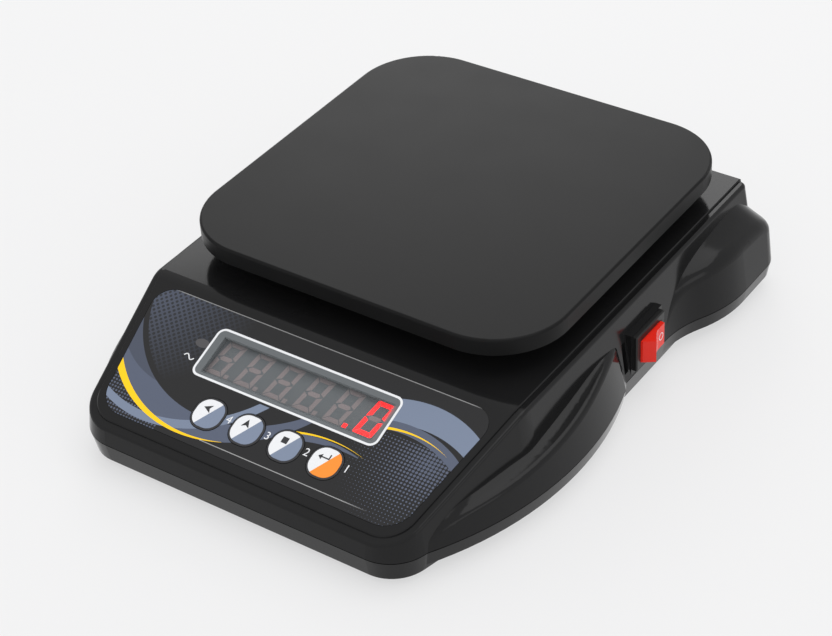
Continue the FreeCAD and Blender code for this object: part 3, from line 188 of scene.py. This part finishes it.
slotMaterials = {
    "black_gloss": plastic("blackGloss", (0.0090, 0.0090, 0.0093, 1), 0.12, bodyLook),
    "black_satin": plastic("blackSatin", (0.0075, 0.0075, 0.0076, 1), 0.36, panLook),
    "carrier_black": plastic("carrierBlack", gray(0.012), 0.4, plainLook),
    "rubber": plastic("rubberBlack", gray(0.018), 0.72, rubberLook),
    "rocker_red": plastic("rockerRed", (0.70, 0.018, 0.008, 1), 0.22, plainLook),
    "switch_black": plastic("switchBlack", gray(0.010), 0.32, plainLook),
    "chip_black": plastic("chipBlack", gray(0.02), 0.5, plainLook),
    "header_white": plastic("headerWhite", (0.75, 0.73, 0.66, 1), 0.4, plainLook),
    "sleeve_blue": plastic("sleeveBlue", (0.03, 0.10, 0.35, 1), 0.3, plainLook),
    "lamp": plastic("lampTint", (0.30, 0.03, 0.02, 1), 0.2, plainLook),
    "zinc_steel": metal("zincSteel", (0.60, 0.60, 0.58, 1), 0.34, (1, 1, 1)),
    "aluminium": metal("milledAluminium", (0.78, 0.78, 0.80, 1), 0.32, (0.05, 1, 1)),
    "brass": metal("brassBlade", (0.78, 0.60, 0.28, 1), 0.28, (1, 1, 0.1)),
}


def boardMaterial():
    # green solder mask with faint copper tracks under it
    shader = Shader("greenBoard", {"Roughness": 0.35})
    x, y = shader.split(shader.place())[:2]
    tracks = ((x * 2600.0).wave() > 0.86).most((y * 2600.0).wave() > 0.9)
    patches = shader.noise(70.0, 0.0) > 0.52
    shader.feed(Base_Color=shader.mixColor(tracks * patches, (0.012, 0.10, 0.035, 1), (0.035, 0.19, 0.07, 1)))
    return shader.material


def digitMaterial():
    # the matt grey face of the digits
    shader = Shader("digitFace", {"Roughness": 0.55})
    speck = shader.noise(1800.0, 2.0)
    shader.feed(Base_Color=shader.mixColor(speck, (0.150, 0.165, 0.174, 1), (0.162, 0.178, 0.188, 1)))
    return shader.material


def consolePlace(shader):
    # millimetres across the console, and up its slope from the ridge line
    px, py, pz = shader.split(shader.place())
    up = (py - console["ridgeY"]) * (1000.0 * slopeCos) + (pz - console["ridgeZ"]) * (1000.0 * slopeSin)
    return px * 1000.0, up


windowGlass = {"x": 0.3, "v": -22.35, "halfWidth": 35.6, "halfHeight": 7.2, "haze": 0.17, "printed": 0.73}


def windowMaterial():
    # thin grey acrylic: a haze over the digits, printed grey over the ledge that carries it
    shader = Shader("windowTint", {"Base Color": (0.150, 0.162, 0.170, 1), "Roughness": 0.08,
                                   "Specular IOR Level": 0.15})
    x, v = consolePlace(shader)
    beyondSide = (x - windowGlass["x"]).size() - windowGlass["halfWidth"]
    beyondTop = (v - windowGlass["v"]).size() - windowGlass["halfHeight"]
    rim = (beyondSide.most(beyondTop) * 1.2).clamped()
    smear = shader.noise(240.0, 3.0)
    shader.feed(Roughness=smear * 0.06 + 0.05, Alpha=rim * windowGlass["printed"] + windowGlass["haze"])
    return shader.material


slotMaterials["green_board"] = boardMaterial()
slotMaterials["digit_face"] = digitMaterial()
slotMaterials["window"] = windowMaterial()


# The printed film

filmArt = {
    "ground": (0.0190, 0.0190, 0.0198, 1),
    "slate": (0.095, 0.112, 0.160, 1),
    "pale": (0.185, 0.225, 0.310, 1),
    "yellow": (0.96, 0.60, 0.010, 1),
    "lens": (0.080, 0.078, 0.082, 1),
    "cornerDots": 1.75, "bandDots": 1.3, "rightDots": 1.35,
}
# the curves of the print are circles: centre across, centre up the slope, radius
filmCurves = {
    "cornerFade": (-70.0, -4.0, 42.0),
    "cornerEdge": (-25.0, 5.0, 48.5),
    "fieldTop": (-25.0, 5.0, 50.6),
    "fieldFoot": (-30.0, -1.0, 53.5),
    "fieldShade": (-44.0, -2.0, 38.0),
    "bandFoot": (-45.0, -6.0, 49.2),
    "bandTop": (-46.0, -4.6, 47.4),
    "crescent": (-27.3, -0.2, 53.3),
    "wingTop": (24.0, -86.0, 50.0),
    "wingFoot": (30.0, -96.0, 58.5),
    "wingLine": (25.0, -86.0, 50.6),
    "paleTop": (50.0, -52.0, 42.2),
    "paleFoot": (52.0, -60.0, 40.5),
    "slateTop": (47.0, -62.0, 42.4),
    "slateFoot": (45.5, -68.0, 44.5),
    "rightLine": (48.5, -62.0, 39.6),
    "dotShade": (60.0, -30.0, 34.0),
    "dotEdge": (48.0, -62.0, 38.6),
}
lampOval = {"x": -42.2, "v": -20.0, "halfWidth": 2.9, "halfHeight": 1.75}
pinstripe = {"v": -53.6, "half": 0.16, "start": -20.0, "end": 50.0}
# a painted highlight along the film's top edge, where the bevel of its recess catches light
paintedEdgeHighlight = {"v": -4.5, "end": 68.0}


def filmMaterial():
    # swooshes and half-tone dots
    shader = Shader("filmPrint", {"Roughness": 0.24, "Specular IOR Level": 0.2})
    x, v = consolePlace(shader)

    def inside(curveName):
        # millimetres inside one of the circles, below 0 outside it
        centreX, centreV, radius = filmCurves[curveName]
        return radius - ((x - centreX) ** 2.0 + (v - centreV) ** 2.0) ** 0.5

    def dots(pitch, turn, fill):
        # a turned grid of round dots whose size follows fill
        cosine = math.cos(turn) / pitch
        sine = math.sin(turn) / pitch
        across = (x * cosine + v * sine).math("FRACT") - 0.5
        along = (v * cosine - x * sine).math("FRACT") - 0.5
        return (fill - (across ** 2.0 + along ** 2.0) ** 0.5) > 0.0

    color = shader.mixColor(0.0, filmArt["ground"], filmArt["ground"])

    def paint(mask, ink):
        nonlocal color
        color = shader.mixColor(mask, color, ink)

    # top left: slate that fades out, under a turned grid of dark dots
    fade = (inside("cornerFade") / filmCurves["cornerFade"][2]).clamped()
    sweep = inside("cornerEdge") > 0.0
    paint(fade * sweep * 0.75, filmArt["slate"])
    darkDots = dots(filmArt["cornerDots"], 0.785, 0.40 - fade * 0.10)
    paint(darkDots * sweep * (fade > 0.02) * 0.8, filmArt["ground"])

    # left: a slate field, darker towards its upper side
    lower = inside("fieldFoot")
    field = (inside("fieldTop") < 0.0) * (lower > 0.0)
    paint(field, filmArt["slate"])
    paint(field * (inside("fieldShade") > 0.0) * 0.35, filmArt["ground"])

    # bottom left: a grid of fine dots, the pale band, and a yellow crescent over both
    corner = (lower < 0.0) * (x < -38.0)
    paint(corner * dots(filmArt["bandDots"], 0.0, corner * 0.30), filmArt["slate"])
    band = (inside("bandFoot") > 0.0) * (inside("bandTop") < 0.0) * (v < -33.0)
    paint(band, filmArt["pale"])
    paint((lower > 0.0) * (inside("crescent") < 0.0) * (x < -12.0), filmArt["yellow"])

    # middle: a slate wing behind the keys, with a yellow line that thins out
    wing = (inside("wingTop") > 0.0) * (inside("wingFoot") < 0.0) * (x > 8.0) * (x < 36.0)
    paint(wing, filmArt["slate"])
    paint((inside("wingLine").size() < (38.0 - x) * 0.015) * (x > 8.0), filmArt["yellow"])

    # right: pale swoosh, slate swoosh, yellow line and fading dots
    paint((inside("paleTop") > 0.0) * (inside("paleFoot") < 0.0) * (x > 36.0), filmArt["pale"])
    paint((inside("slateTop") > 0.0) * (inside("slateFoot") < 0.0) * (x > 36.0), filmArt["slate"])
    paint((inside("rightLine").size() < (64.0 - x) * 0.02) * (x > 38.0), filmArt["yellow"])
    shade = (inside("dotShade") / filmCurves["dotShade"][2]).clamped() * (v < -25.0) * (x > 24.0)
    paint(dots(filmArt["rightDots"], 0.0, shade * 0.46) * (inside("dotEdge") > 0.0), filmArt["slate"])

    # a grey oval over the mains lamp, and a pinstripe along the front
    across = (x - lampOval["x"]) / lampOval["halfWidth"]
    along = (v - lampOval["v"]) / lampOval["halfHeight"]
    paint((across ** 2.0 + along ** 2.0) < 1.0, filmArt["lens"])
    stripe = ((v - pinstripe["v"]).size() < pinstripe["half"]) * (x > pinstripe["start"])
    paint(stripe * ((pinstripe["end"] - x) * 0.1).clamped(), gray(0.32))

    # a painted highlight along the top edge, standing in for the light that the bevel of the film's recess
    # catches
    paint((v > paintedEdgeHighlight["v"]) * ((paintedEdgeHighlight["end"] - x.size()) * 0.14).clamped(), gray(0.24))

    grain = shader.noise(2200.0, 2.0)
    shader.feed(Base_Color=color, Roughness=grain * 0.10 + 0.19, Normal=shader.bump(grain, 0.4, 0.000004))
    return shader.material


slotMaterials["film"] = filmMaterial()


def inkMaterial(name, color, roughness=0.3, glow=0.0):
    shader = Shader(name, {"Base Color": color, "Roughness": roughness})
    if glow:
        shader.bsdf.inputs["Emission Color"].default_value = color
        shader.bsdf.inputs["Emission Strength"].default_value = glow
    mottle = shader.noise(1600.0, 2.0)
    deep = tuple(channel * 0.93 for channel in color[:3]) + (1.0,)
    shader.feed(Base_Color=shader.mixColor(mottle, color, deep))
    return shader.material


inks = {
    "white": inkMaterial("inkWhite", (0.80, 0.81, 0.83, 1)),
    "slate": inkMaterial("inkSlate", (0.19, 0.235, 0.33, 1)),
    "orange": inkMaterial("inkOrange", (0.93, 0.27, 0.015, 1)),
    "dark": inkMaterial("inkDark", (0.015, 0.015, 0.018, 1)),
    "segment": inkMaterial("segmentOff", (0.380, 0.310, 0.310, 1), 0.5),
    "segmentLit": inkMaterial("segmentLit", (1.0, 0.002, 0.002, 1), 0.5, 2.6),
}
slotMaterials["key_print"] = inks["dark"]

for cadNode in cadNodes.values():
    for held in cadNode.material_slots:
        slotName = held.material.name.split(".")[0] if held.material else ""
        for candidate in slotMaterials:
            if slotName.endswith(candidate):
                held.material = slotMaterials[candidate]
print("materials assigned")


# Printed and lit pieces

def outlineRounded(width, height, radius, steps=6):
    points = []
    for cornerX, cornerY, start in ((1, 1, 0), (-1, 1, 90), (-1, -1, 180), (1, -1, 270)):
        for step in range(steps + 1):
            angle = math.radians(start + 90 * step / steps)
            points.append((cornerX * (width / 2 - radius) + radius * math.cos(angle),
                           cornerY * (height / 2 - radius) + radius * math.sin(angle)))
    return points


def makePiece(name, polygons, matrix, thickness, ink, body, rings=()):
    # flat shapes in millimetres, raised by a thickness; a ring is a pair of outlines of equal length
    verts = []
    faces = []
    for points in polygons:
        start = len(verts)
        count = len(points)
        for level in (0.0, thickness):
            verts.extend([(px * mm, py * mm, level * mm) for px, py in points])
        faces.append([start + count + k for k in range(count)])
        faces.append([start + k for k in reversed(range(count))])
        faces.extend([(start + k, start + (k + 1) % count, start + count + (k + 1) % count, start + count + k)
                      for k in range(count)])
    for outer, inner in rings:
        start = len(verts)
        count = len(outer)
        for level in (0.0, thickness):
            for loop in (outer, inner):
                verts.extend([(px * mm, py * mm, level * mm) for px, py in loop])
        lowOuter, lowInner, highOuter, highInner = (start + count * k for k in range(4))
        for k in range(count):
            after = (k + 1) % count
            faces.append((highOuter + k, highOuter + after, highInner + after, highInner + k))
            faces.append((lowOuter + after, lowOuter + k, lowInner + k, lowInner + after))
            faces.append((lowOuter + k, lowOuter + after, highOuter + after, highOuter + k))
            faces.append((lowInner + after, lowInner + k, highInner + k, highInner + after))
    mesh = bpy.data.meshes.new(name)
    mesh.from_pydata(verts, [], faces)
    mesh.update()
    mesh.transform(matrix)
    mesh.materials.append(ink)
    piece = bpy.data.objects.new(name, mesh)
    bpy.context.scene.collection.objects.link(piece)
    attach(piece, body)


def onConsole(x, v, n):
    # across the console, up its slope, and out of its surface
    return consoleMatrix @ Matrix.Translation((x * mm, v * mm, n * mm))


windowFrame = {"x": -0.3, "v": -21.75, "width": 78.6, "height": 20.8, "line": 0.85, "radius": 3.2,
               "ink": 0.05}
outer = outlineRounded(windowFrame["width"], windowFrame["height"], windowFrame["radius"])
inner = outlineRounded(windowFrame["width"] - 2 * windowFrame["line"],
                       windowFrame["height"] - 2 * windowFrame["line"],
                       windowFrame["radius"] - windowFrame["line"])
makePiece("windowFrameLine", [], onConsole(windowFrame["x"], windowFrame["v"], 0.0), windowFrame["ink"],
          inks["white"], "base", [(outer, inner)])

digits = {
    "count": 6, "pitch": 12.7, "v": -21.75, "printV": -21.1, "x": -0.3, "top": -2.9,
    "width": 7.6, "height": 14.2, "stroke": 1.8, "gap": 0.20, "slant": 10.0, "dot": 0.85, "dotAway": 0.4,
    "faceHeight": 19.0, "faceRadius": 0.5, "sheet": 0.04, "ink": 0.04,
}


def digitSegments(centreX):
    # seven slanted bars with mitred ends, named a to g
    halfWidth = digits["width"] / 2
    halfHeight = digits["height"] / 2
    stroke = digits["stroke"]
    gap = digits["gap"]
    lean = math.tan(math.radians(digits["slant"]))

    def bar(points):
        return [(centreX + px + py * lean, digits["printV"] + py) for px, py in points]

    def level(y, topShare, footShare):
        # a level bar: full width on its outer side, shorter by a share of the stroke on its inner side
        top = halfWidth - gap - stroke * topShare
        foot = halfWidth - gap - stroke * footShare
        high = y + stroke / 2
        low = y - stroke / 2
        return bar([(-top, high), (-foot, low), (foot, low), (top, high)])

    def upright(side, low, high, lowIn, highIn):
        x = side * halfWidth
        points = [(x, low + gap), (x, high - gap),
                  (x - side * stroke, high - gap - highIn), (x - side * stroke, low + gap + lowIn)]
        return bar(points if side < 0 else points[::-1])

    tip = halfWidth - gap - stroke * 0.55
    shoulder = halfWidth - gap - stroke * 1.05
    middle = bar([(-shoulder, -stroke / 2), (shoulder, -stroke / 2), (tip, 0),
                  (shoulder, stroke / 2), (-shoulder, stroke / 2), (-tip, 0)])
    return {
        "a": level(halfHeight - stroke / 2, 0, 1),
        "d": level(-halfHeight + stroke / 2, 1, 0),
        "g": middle,
        "f": upright(-1, 0, halfHeight, stroke * 0.5, stroke),
        "b": upright(1, 0, halfHeight, stroke * 0.5, stroke),
        "e": upright(-1, -halfHeight, 0, stroke, stroke * 0.5),
        "c": upright(1, -halfHeight, 0, stroke, stroke * 0.5),
    }


unlit = []
lit = []
for place in range(digits["count"]):
    centreX = digits["x"] + (place - (digits["count"] - 1) / 2) * digits["pitch"]
    for name, points in digitSegments(centreX).items():
        isLit = place == digits["count"] - 1 and name != "g"
        (lit if isLit else unlit).append(points)
    dotX = centreX + digits["width"] / 2 + digits["dotAway"]
    dotV = digits["printV"] - digits["height"] / 2 + digits["dot"]
    point = [(dotX + sx * digits["dot"], dotV + sy * digits["dot"])
             for sx, sy in ((-1.1, -1), (0.9, -1), (1.1, 1), (-0.9, 1))]
    (lit if place == digits["count"] - 2 else unlit).append(point)
faceOutline = outlineRounded(digits["count"] * digits["pitch"], digits["faceHeight"], digits["faceRadius"], 1)
sheet = [(px + digits["x"], py + digits["v"]) for px, py in faceOutline]
makePiece("digitFaceSheet", [sheet], onConsole(0, 0, digits["top"]), digits["sheet"],
          slotMaterials["digit_face"], "base")
onFace = onConsole(0, 0, digits["top"] + digits["sheet"])
makePiece("unlitSegments", unlit, onFace, digits["ink"], inks["segment"], "base")
makePiece("litSegments", lit, onFace, digits["ink"], inks["segmentLit"], "base")

keys = {
    "names": ["left", "up", "stop", "enter"], "pitch": 16.4, "x": 1.9, "v": -43.7, "top": 0.25,
    "width": 12.6, "radius": 5.4, "rim": 0.75, "split": 1.7, "ink": 0.03, "symbolX": -1.3, "symbolV": 1.9,
    "numerals": ["4", "3", "2", "1"], "numeralSize": 4.3, "numeralAway": 1.9, "numeralV": 0.9,
    "numeralDepth": 0.02,
}


def clipHalf(points, side):
    # the part of a convex outline on one side of the diagonal through its middle
    kept = []
    for index, (px, py) in enumerate(points):
        qx, qy = points[(index + 1) % len(points)]
        here = side * (py - px * keys["split"])
        there = side * (qy - qx * keys["split"])
        if here >= 0:
            kept.append((px, py))
        if here * there < 0:
            share = here / (here - there)
            kept.append((px + (qx - px) * share, py + (qy - py) * share))
    return kept


keySymbols = {
    "left": [[(-1.9, 0), (1.3, -1.6), (0.5, 0), (1.3, 1.6)]],
    "up": [[(0, 1.9), (-1.6, -1.3), (0, -0.5), (1.6, -1.3)]],
    "stop": [[(-1.2, -1.2), (1.2, -1.2), (1.2, 1.2), (-1.2, 1.2)]],
    "enter": [[(-2.4, -0.3), (-0.9, -1.4), (-0.9, 0.8)],
              [(-1.0, -0.55), (2.2, -0.55), (2.2, -0.05), (-1.0, -0.05)],
              [(1.7, -0.05), (2.2, -0.05), (2.2, 1.5), (1.7, 1.5)]],
}
for index, keyName in enumerate(keys["names"]):
    x = keys["x"] + (index - 1.5) * keys["pitch"]
    v = keys["v"]
    body = keyName + "_key_body"
    faceWidth = keys["width"] - 2 * keys["rim"]
    face = outlineRounded(faceWidth, faceWidth, keys["radius"] - keys["rim"], 10)
    top = keys["top"]
    ink = keys["ink"]
    lowerInk = inks["orange" if keyName == "enter" else "slate"]
    makePiece(keyName + "KeyUpperHalf", [clipHalf(face, 1)], onConsole(x, v, top), ink,
              inks["white"], body)
    makePiece(keyName + "KeyLowerHalf", [clipHalf(face, -1)], onConsole(x, v, top), ink,
              lowerInk, body)
    shapes = [[(px + keys["symbolX"], py + keys["symbolV"]) for px, py in shape]
              for shape in keySymbols[keyName]]
    makePiece(keyName + "KeySymbol", shapes, onConsole(x, v, top + ink), ink,
              inks["dark"], body)
    curve = bpy.data.curves.new(keyName + "KeyNumeral", "FONT")
    curve.body = keys["numerals"][index]
    curve.size = keys["numeralSize"] * mm
    curve.extrude = keys["numeralDepth"] * mm
    curve.align_x = "CENTER"
    curve.align_y = "CENTER"
    curve.materials.append(inks["white"])
    numeral = bpy.data.objects.new(keyName + "KeyNumeral", curve)
    bpy.context.scene.collection.objects.link(numeral)
    numeralX = x + keys["width"] / 2 + keys["numeralAway"]
    numeral.matrix_world = onConsole(numeralX, v + keys["numeralV"], ink)
    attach(numeral, "base")

# a small wave beside the mains lamp
wave = {"x": -43.6, "v": -26.6, "width": 4.4, "height": 0.9, "half": 0.22, "steps": 20, "ink": 0.04}
waveShares = [k / wave["steps"] for k in range(wave["steps"] + 1)]
wavePoints = [(wave["width"] * (share - 0.5), wave["height"] * math.sin(2 * math.pi * share))
              for share in waveShares]
waveBars = []
for (ax, ay), (bx, by) in zip(wavePoints, wavePoints[1:]):
    length = math.hypot(bx - ax, by - ay)
    nx = -(by - ay) / length * wave["half"]
    ny = (bx - ax) / length * wave["half"]
    waveBars.append([(ax - nx, ay - ny), (bx - nx, by - ny), (bx + nx, by + ny), (ax + nx, ay + ny)])
makePiece("mainsMark", waveBars, onConsole(wave["x"], wave["v"], 0.0), wave["ink"],
          inks["white"], "base")

# marks on the rocker, on the flat of each half
rocker = {
    "x": 82.8, "y": 25.906, "z": 20.8, "tilt": math.radians(15.0), "valley": 3.0,
    "along": 3.3, "radius": 1.45, "line": 0.3, "oval": 1.1, "barHalf": 1.7, "barLine": 0.2,
    "ink": 0.04, "above": 0.01,
}


def onRocker(side):
    # local X runs down the part's Z, local Y along the rocker, local Z out of its face
    slant = rocker["tilt"] * side
    height = rocker["valley"] + rocker["along"] * math.tan(rocker["tilt"]) + rocker["above"]
    lift = Matrix.Translation((0, rocker["along"] * side * mm, height * mm))
    face = Matrix.Rotation(slant, 4, "X")
    tilt = Matrix.Rotation(-rocker["tilt"], 4, "X")
    upright = Matrix(((0, 0, 1, 0), (0, 1, 0, 0), (-1, 0, 0, 0), (0, 0, 0, 1)))
    pivot = Matrix.Translation((rocker["x"] * mm, rocker["y"] * mm, rocker["z"] * mm))
    return pivot @ upright @ tilt @ lift @ face


def ellipse(radiusX, radiusY):
    return [(radiusX * math.cos(k * math.pi / 16), radiusY * math.sin(k * math.pi / 16)) for k in range(32)]


ringX = rocker["radius"] * rocker["oval"]
markRing = (ellipse(ringX, rocker["radius"]),
            ellipse(ringX - rocker["line"], rocker["radius"] - rocker["line"]))
markBar = [(sx * rocker["barHalf"], sy * rocker["barLine"])
           for sx, sy in ((-1, -1), (1, -1), (1, 1), (-1, 1))]
makePiece("rockerRing", [], onRocker(1), rocker["ink"], inks["white"], "rocker", [markRing])
makePiece("rockerBar", [markBar], onRocker(-1), rocker["ink"], inks["white"], "rocker")
print("printed pieces made")


# Studio

studioWhite = (0.93, 0.93, 0.935, 1)
floorPale = (0.865, 0.865, 0.87, 1)
floorLit = 0.3  # share of the floor's real shading that the camera sees


def stagePlane(name, size, z, color):
    mesh = bpy.data.meshes.new(name)
    half = size / 2
    corners = [(-half, -half, z), (half, -half, z), (half, half, z), (-half, half, z)]
    mesh.from_pydata(corners, [], [(0, 1, 2, 3)])
    plane = bpy.data.objects.new(name, mesh)
    bpy.context.scene.collection.objects.link(plane)
    shader = Shader(name + "Paint", {"Base Color": color, "Roughness": 0.9})
    camera, glossy, through = [shader.add("ShaderNodeLightPath", {}, {}, "Is " + ray + " Ray")
                               for ray in ("Camera", "Glossy", "Transmission")]
    glow = shader.add("ShaderNodeEmission", {}, {"Color": studioWhite, "Strength": 1.0})
    surface = Sock(shader, shader.bsdf.outputs[0])
    # the camera sees a pale floor that keeps the shadow, and gloss and glass see a white one
    pale = shader.add("ShaderNodeEmission", {}, {"Color": floorPale, "Strength": 1.0})
    shaded = shader.add("ShaderNodeMixShader", {}, {0: floorLit, 1: pale, 2: surface})
    hidden = shader.add("ShaderNodeMixShader", {}, {0: glossy.most(through), 1: surface, 2: glow})
    mixed = shader.add("ShaderNodeMixShader", {}, {0: camera, 1: hidden, 2: shaded})
    output = shader.tree.nodes["Material Output"]
    shader.tree.links.new(mixed.out, output.inputs["Surface"])
    mesh.materials.append(shader.material)


# the floor lies a hair under the feet, so that their soles don't share its plane
stagePlane("studioFloor", 12.0, -0.0002, gray(0.8))

world = bpy.data.worlds.new("studioWorld")
bpy.context.scene.world = world
world.use_nodes = True
background = world.node_tree.nodes["Background"]
background.inputs["Color"].default_value = studioWhite
background.inputs["Strength"].default_value = 1.0

lamps = {
    "topSoft": {"place": (0.2, 0.3, 1.5), "aim": (0, 0, 0), "size": 1.2, "power": 7.0},
    "backSoft": {"place": (-0.9, 1.3, 0.7), "aim": (0, 0, 0.03), "size": 0.8, "power": 6.0},
    "rightSoft": {"place": (1.4, -0.2, 0.6), "aim": (0, 0, 0.02), "size": 0.6, "power": 1.2},
}
for name, lamp in lamps.items():
    light = bpy.data.lights.new(name, "AREA")
    light.size = lamp["size"]
    light.energy = lamp["power"]
    holder = bpy.data.objects.new(name, light)
    bpy.context.scene.collection.objects.link(holder)
    holder.location = lamp["place"]
    holder.rotation_euler = (Vector(lamp["aim"]) - Vector(lamp["place"])).to_track_quat("-Z", "Y").to_euler()

# the camera was fitted to the outline of the scale in the photograph
cameraView = {"place": (0.381642, -0.513699, 0.500736), "turn": (52.77653, 2.95311, 34.3057), "lens": 95.235}
cameraData = bpy.data.cameras.new("viewCamera")
cameraData.sensor_width = 36.0
cameraData.lens = cameraView["lens"]
cameraData.clip_start = 0.05
cameraData.clip_end = 30.0
camera = bpy.data.objects.new("viewCamera", cameraData)
bpy.context.scene.collection.objects.link(camera)
camera.location = cameraView["place"]
camera.rotation_euler = tuple(math.radians(angle) for angle in cameraView["turn"])
bpy.context.scene.camera = camera
bpy.context.scene.view_settings.view_transform = "Standard"
print("studio ready")
